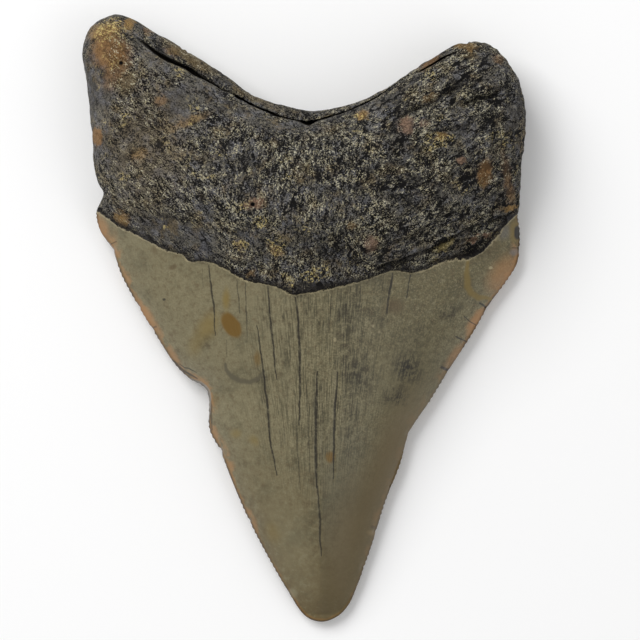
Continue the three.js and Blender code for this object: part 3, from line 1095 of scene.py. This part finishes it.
def rootFinish(tree, place, flat, side, markings):
    # colour, roughness and height of the grainy root
    calm = None
    for zone in markings["calms"]:
        calm = largerOf(tree, calm, spotOn(tree, flat, *zone, 0.5))
    # how loud the grain is: less in the calm stretches and towards the left
    loud = span(tree, calm, 0.0, 1.0, 1.0, 0.35)
    loud = times(tree, loud, span(tree, side, -32, -4, 0.72, 1.0))
    unevenness = grainOf(tree, place, grain["unevenness"], 3.0, 0.6)
    loud = times(tree, loud, span(tree, unevenness, 0.4, 0.6, 0.55, 1.15))
    grit = fibreGrain(tree, place, side, grain["coarse"], 3.0, 0.7)
    fine = grainOf(tree, place, grain["fine"], 2.0, 0.6)
    fineShare, coarseShare, middle = grain["grit"]
    grit = maths(tree, "MULTIPLY_ADD", fine, fineShare, times(tree, grit, coarseShare))
    grit = times(tree, maths(tree, "SUBTRACT", grit, middle), loud)

    # ridges as thin as threads, where the grain passes its middle value; further down they are painted as
    # highlights
    threads = thinLines(tree, fibreGrain(tree, place, side, grain["threads"], 3.0, 0.6), *grain["threadLine"])
    patchiness = grainOf(tree, place, grain["threadPatches"], 3.0, 0.6)
    threads = times(tree, threads, span(tree, patchiness, 0.4, 0.6, 0.25, 1.0))
    threads = times(tree, threads, loud)
    height = maths(tree, "MULTIPLY_ADD", threads, 0.12, grit)

    # crevices that open along the fibres, here and there
    gap = thinLines(tree, fibreGrain(tree, flat, side, grain["crevices"], 2.0, 0.5), *grain["creviceLine"])
    torn = maths(tree, "MULTIPLY_ADD", side, 0.004, grainOf(tree, place, grain["torn"], 2.0, 0.5))
    gap = times(tree, gap, span(tree, torn, 0.46, 0.62))
    height = maths(tree, "MULTIPLY_ADD", gap, -0.2, height)

    # clouds of grey, slate and tan, then the shades and the patches
    broad = grainOf(tree, place, grain["rootTone"], 4.0, 0.6)
    colour = tint(tree, span(tree, broad, 0.36, 0.62), "coal", "charcoal")
    cloudy = grainOf(tree, place, grain["slateClouds"], 4.0, 0.65)
    colour = fadeIn(tree, colour, cloudy, 0.45, 0.62, 0.8, "slate")
    warm = grainOf(tree, vectorMaths(tree, "ADD", place, (40, 9, 0)), grain["tanClouds"], 5.0, 0.7)
    colour = fadeIn(tree, colour, warm, 0.48, 0.68, 0.6, "tan")
    colour = layPatches(tree, colour, flat, markings["shades"])[0]
    colour, covered = layPatches(tree, colour, flat, markings["patches"])

    # painted highlights on the ridges and painted shade in the pits, less so on the patches
    plain = span(tree, covered, 0.2, 0.8, 1.0, 0.5)
    bright = times(tree, threads, span(tree, height, -0.05, 0.12, 0.15, 1.15))
    colour = tint(tree, times(tree, bright, plain), colour, "ridgeHighlight")
    dark = times(tree, span(tree, height, 0.035, -0.045, 0.0, 0.97), plain)
    colour = tint(tree, dark, colour, "pitShade")

    # golden grains in clumps, and a few painted glints on the highest grains
    clump = grainOf(tree, place, grain["goldClumps"], 3.0, 0.6)
    for zone in markings["golds"]:
        clump = maths(tree, "MULTIPLY_ADD", spotOn(tree, flat, *zone, 0.5), 0.3, clump)
    grains = grainOf(tree, vectorMaths(tree, "ADD", place, (5, 23, 0)), grain["gold"], 2.0, 0.6)
    golden = times(tree, span(tree, grains, 0.48, 0.56), span(tree, clump, 0.58, 0.74))
    golden = times(tree, golden, span(tree, height, -0.03, 0.04))
    colour = tint(tree, times(tree, golden, 0.85), colour, "straw")
    glint = span(tree, maths(tree, "MULTIPLY_ADD", grains, 0.4, height), 0.35, 0.4)
    colour = tint(tree, times(tree, glint, 0.8), colour, "glint")
    level = vectorMaths(tree, "MULTIPLY", place, (1, 1, 0))
    # painted shade: the holes are painted black
    for x, y, radius in markings["holes"]:
        colour = tint(tree, spotOn(tree, level, x, y, radius, radius, 0, 0.25), colour, "pitShade")
    rough = span(tree, height, -0.15, 0.25, *gloss["rootRoughness"])
    return colour, rough, height


def enamelFinish(tree, place, flat, side, fromRim, markings, lines):
    # colour, roughness and height of the smooth crown
    broad = grainOf(tree, place, grain["crownTone"], 3.0, 0.5)
    smoke = grainOf(tree, place, grain["smoke"], 5.0, 0.66)
    mottle = grainOf(tree, place, grain["mottle"], 4.0, 0.7)
    speck = grainOf(tree, place, grain["specks"], 2.0, 0.6)
    toRight = span(tree, side["X"], -4, 24)
    colour = tint(tree, toRight, "olive", "moss")
    colour = fadeIn(tree, colour, side["Y"], -18, -52, 0.85, "bark")
    colour = fadeIn(tree, colour, broad, 0.45, 0.65, 0.35, "haze")
    colour = fadeIn(tree, colour, smoke, 0.46, 0.7, 0.55, "smoke")
    colour = fadeIn(tree, colour, mottle, 0.5, 0.68, 0.5, "umber")
    colour = fadeIn(tree, colour, mottle, 0.5, 0.32, 0.5, "haze")

    # blotches and specks, which are stronger on the right
    blotch = grainOf(tree, vectorMaths(tree, "ADD", place, (17, 3, 0)), grain["blotches"], 5.0, 0.75)
    blotch = times(tree, span(tree, blotch, 0.5, 0.68), span(tree, side["X"], -8, 14, 0.15, 0.5))
    colour = tint(tree, blotch, colour, "smoke")
    grainy = span(tree, side["X"], -12, 6, 0.35, 1.0)
    grainy = times(tree, grainy, span(tree, side["Y"], -40, -18, 0.25, 1.0))
    dark = times(tree, span(tree, speck, 0.52, 0.66, 0.0, 0.6), grainy)
    colour = tint(tree, dark, colour, "smoke")
    pale = times(tree, span(tree, speck, 0.48, 0.34, 0.0, 0.35), grainy)
    colour = tint(tree, pale, colour, "lip")

    # painted shade: below the middle the crown has a ridge, and its right side is painted darker
    shadow = times(tree, span(tree, side["X"], 2.4, 4.2), span(tree, side["Y"], -16, -32, 0.0, 0.4))
    colour = tint(tree, shadow, colour, "smoke")

    # amber where the enamel runs thin along the edge
    patchy = grainOf(tree, place, grain["margin"], 3.0, 0.6)
    width = times(tree, span(tree, patchy, 0.4, 0.64, 0.5, 1.8),
                  span(tree, side["Y"], -50, -30, 0.4, 1.0))
    thin = span(tree, maths(tree, "DIVIDE", fromRim, width), 0.2, 1.2, 1.0, 0.0)
    thin = times(tree, thin, span(tree, patchy, 0.38, 0.6, 0.2, 0.7))
    colour = tint(tree, thin, colour, "peach")
    colour = tint(tree, span(tree, fromRim, 0.15, 0.8, 0.7, 0.0), colour, "amber")
    # painted shade along the very edge of the enamel
    outermost = times(tree, span(tree, fromRim, 0.04, 0.42, 0.85, 0.0), span(tree, mottle, 0.35, 0.5))
    colour = tint(tree, outermost, colour, "inkAndShade")
    colour = layPatches(tree, colour, flat, markings["stains"])[0]

    # upright hairs where the enamel has crazed; they draw together towards the tip
    spread = maths(tree, "MULTIPLY_ADD", side["Y"], 1 / 60, 1.25)
    fan = maths(tree, "DIVIDE", maths(tree, "SUBTRACT", side["X"], 2.6), spread)
    fan = addNode(tree, "CombineXYZ", {"X": fan, "Y": times(tree, side["Y"], 0.045)})
    fan = fan.outputs[0]
    streaks = grainOf(tree, fan, grain["streaks"], 2.0, 0.7)
    hairs = thinLines(tree, grainOf(tree, fan, grain["hairs"], 2.0, 0.6), *grain["hairLine"])
    crazed = spotOn(tree, flat, 2.5, -8, 12, 23, 0, 0.5)
    broken = span(tree, grainOf(tree, place, grain["hairBreaks"], 3.0, 0.6), 0.42, 0.58, 0.0, 0.75)
    hairs = times(tree, times(tree, hairs, broken), crazed)
    colour = tint(tree, hairs, colour, "crack")
    dark = times(tree, span(tree, streaks, 0.5, 0.64, 0.0, 0.7), crazed)
    colour = tint(tree, dark, colour, "smoke")
    pale = times(tree, span(tree, streaks, 0.48, 0.34, 0.0, 0.55), crazed)
    colour = tint(tree, pale, colour, "haze")
    scratchy = maths(tree, "MULTIPLY_ADD", maths(tree, "SUBTRACT", streaks, 0.5), 0.7, mottle)
    for *zone, strength in markings["smokes"]:
        amount = spotOn(tree, flat, *zone, 0.85)
        scratches = span(tree, scratchy, 0.4, 0.62, 0.3 * strength, 1.3 * strength)
        colour = tint(tree, times(tree, amount, scratches), colour, "crack")
    for width, name, strength, *line in markings["marks"]:
        amount = times(tree, strokeOn(tree, flat, width, line), strength)
        colour = tint(tree, amount, colour, name)
    crack = None
    for width, darkness, *line in lines:
        amount = times(tree, strokeOn(tree, flat, width, line), darkness)
        crack = largerOf(tree, crack, amount)
    crack = times(tree, crack, span(tree, mottle, 0.36, 0.52, 0.65, 1.0))
    colour = tint(tree, times(tree, crack, 0.95), colour, "crack")
    rough = span(tree, mottle, 0.3, 0.7, *gloss["crownRoughness"])
    return colour, rough, maths(tree, "MULTIPLY_ADD", speck, 0.3, mottle)


def fossilFinish(name, markings, lines):
    material = bpy.data.materials.new(name)
    material.use_nodes = True
    tree = material.node_tree
    skin = tree.nodes["Principled BSDF"]
    where = addNode(tree, "TexCoord").outputs["Object"]
    place = vectorMaths(tree, "SCALE", where, 1 / mm)
    side = addNode(tree, "SeparateXYZ", {"Vector": place}).outputs
    fromRim = stored(tree, "fromRim")
    aboveLine = stored(tree, "aboveLine")
    hollow = stored(tree, "crease")
    facet = stored(tree, "broken")
    jagged = grainOf(tree, place, grain["rootLine"], 4.0, 0.7)
    jagged = maths(tree, "MULTIPLY_ADD", maths(tree, "SUBTRACT", jagged, 0.5), 1.2, aboveLine)
    onRoot = span(tree, jagged, -0.06, 0.06)

    ragged = wandering(tree, place, *grain["ragged"])
    rootColour, rootRough, rootBumps = rootFinish(tree, place, ragged, side["X"], markings)
    # painted shade: the crease behind the bulge is painted near-black
    hollow = span(tree, hollow, 0.15, 0.7, 0.0, 0.95)
    rootColour = tint(tree, hollow, rootColour, "creaseShade")
    # painted shade in the gaps under the root's shingled folds
    fold = stored(tree, "fold")
    fold = span(tree, fold, 0.15, 0.75, 0.0, 0.7)
    rootColour = tint(tree, fold, rootColour, "pitShade")
    # the root is darker along its edge just above the root line
    rootColour = tint(tree, span(tree, jagged, 0.3, 1.5, 0.75, 0.0), rootColour, "inkAndShade")

    smooth = wandering(tree, place, *grain["smooth"])
    crownColour, crownRough, crownBumps = enamelFinish(
        tree, place, smooth, side, fromRim, markings, lines)
    crownColour = tint(tree, times(tree, facet, 0.6), crownColour, "facet")
    lip = times(tree, span(tree, jagged, -0.4, -0.12), span(tree, rootBumps, -0.12, 0.08, 0.15, 0.9))
    crownColour = tint(tree, lip, crownColour, "lip")

    fill(tree, skin.inputs["Base Color"], tint(tree, onRoot, crownColour, rootColour))
    fill(tree, skin.inputs["Specular IOR Level"], gloss["body"])
    fill(tree, skin.inputs["Coat Roughness"], gloss["coatRoughness"])
    fill(tree, skin.inputs["Coat Weight"], span(tree, onRoot, 0.0, 1.0, gloss["coat"], 0.0))
    rough = addNode(tree, "Mix", {0: onRoot, 2: crownRough, 3: rootRough}, data_type="FLOAT")
    fill(tree, skin.inputs["Roughness"], rough.outputs[0])
    fineBumps = times(tree, maths(tree, "SUBTRACT", 1.0, onRoot), crownBumps)
    coarseBumps = times(tree, onRoot, rootBumps)
    bumps = maths(tree, "MULTIPLY_ADD", fineBumps, gloss["crownBump"], coarseBumps)
    bump = addNode(tree, "Bump", {"Height": bumps, "Distance": gloss["bump"] * mm, "Strength": 1.0})
    fill(tree, skin.inputs["Normal"], bump.outputs[0])
    return material


tooth.data.materials.append(fossilFinish("fossil_upper", upperMarkings, cracks["upper"]))
tooth.data.materials.append(fossilFinish("fossil_lower", lowerMarkings, cracks["lower"]))
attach(tooth, "root")
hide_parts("tooth")
print("tooth finished")

# Floor and light

stage = {
    "floorSize": 4.0,           # metres
    "floor": (250, 250, 250),
    "floorRoughness": 0.9,
    "sky": 0.5,
}

lamps = {                       # place in metres, size in metres, watts
    "key": ((-0.5, 0.55, 0.75), 0.7, 8.2),
    "fill": ((0.8, -0.3, 0.8), 0.9, 1.8),
}


def setStage():
    bm = bmesh.new()
    bmesh.ops.create_grid(bm, x_segments=1, y_segments=1, size=stage["floorSize"] / 2)
    data = bpy.data.meshes.new("floor")
    bm.to_mesh(data)
    bm.free()
    floor = bpy.data.objects.new("floor", data)
    bpy.context.collection.objects.link(floor)
    finish = bpy.data.materials.new("pale_floor")
    finish.use_nodes = True
    skin = finish.node_tree.nodes["Principled BSDF"]
    skin.inputs["Base Color"].default_value = shade(*stage["floor"])
    skin.inputs["Roughness"].default_value = stage["floorRoughness"]
    data.materials.append(finish)


def setLights():
    for name, (place, size, watts) in lamps.items():
        lamp = bpy.data.lights.new(name, "AREA")
        lamp.size = size
        lamp.energy = watts
        holder = bpy.data.objects.new(name, lamp)
        holder.location = place
        holder.rotation_euler = (-Vector(place)).to_track_quat("-Z", "Y").to_euler()
        bpy.context.collection.objects.link(holder)
    world = bpy.data.worlds.new("soft_sky")
    world.use_nodes = True
    world.node_tree.nodes["Background"].inputs["Color"].default_value = (1, 1, 1, 1)
    world.node_tree.nodes["Background"].inputs["Strength"].default_value = stage["sky"]
    bpy.context.scene.world = world
    bpy.context.scene.view_settings.view_transform = "Standard"


setStage()
setLights()
print("stage and lights set")
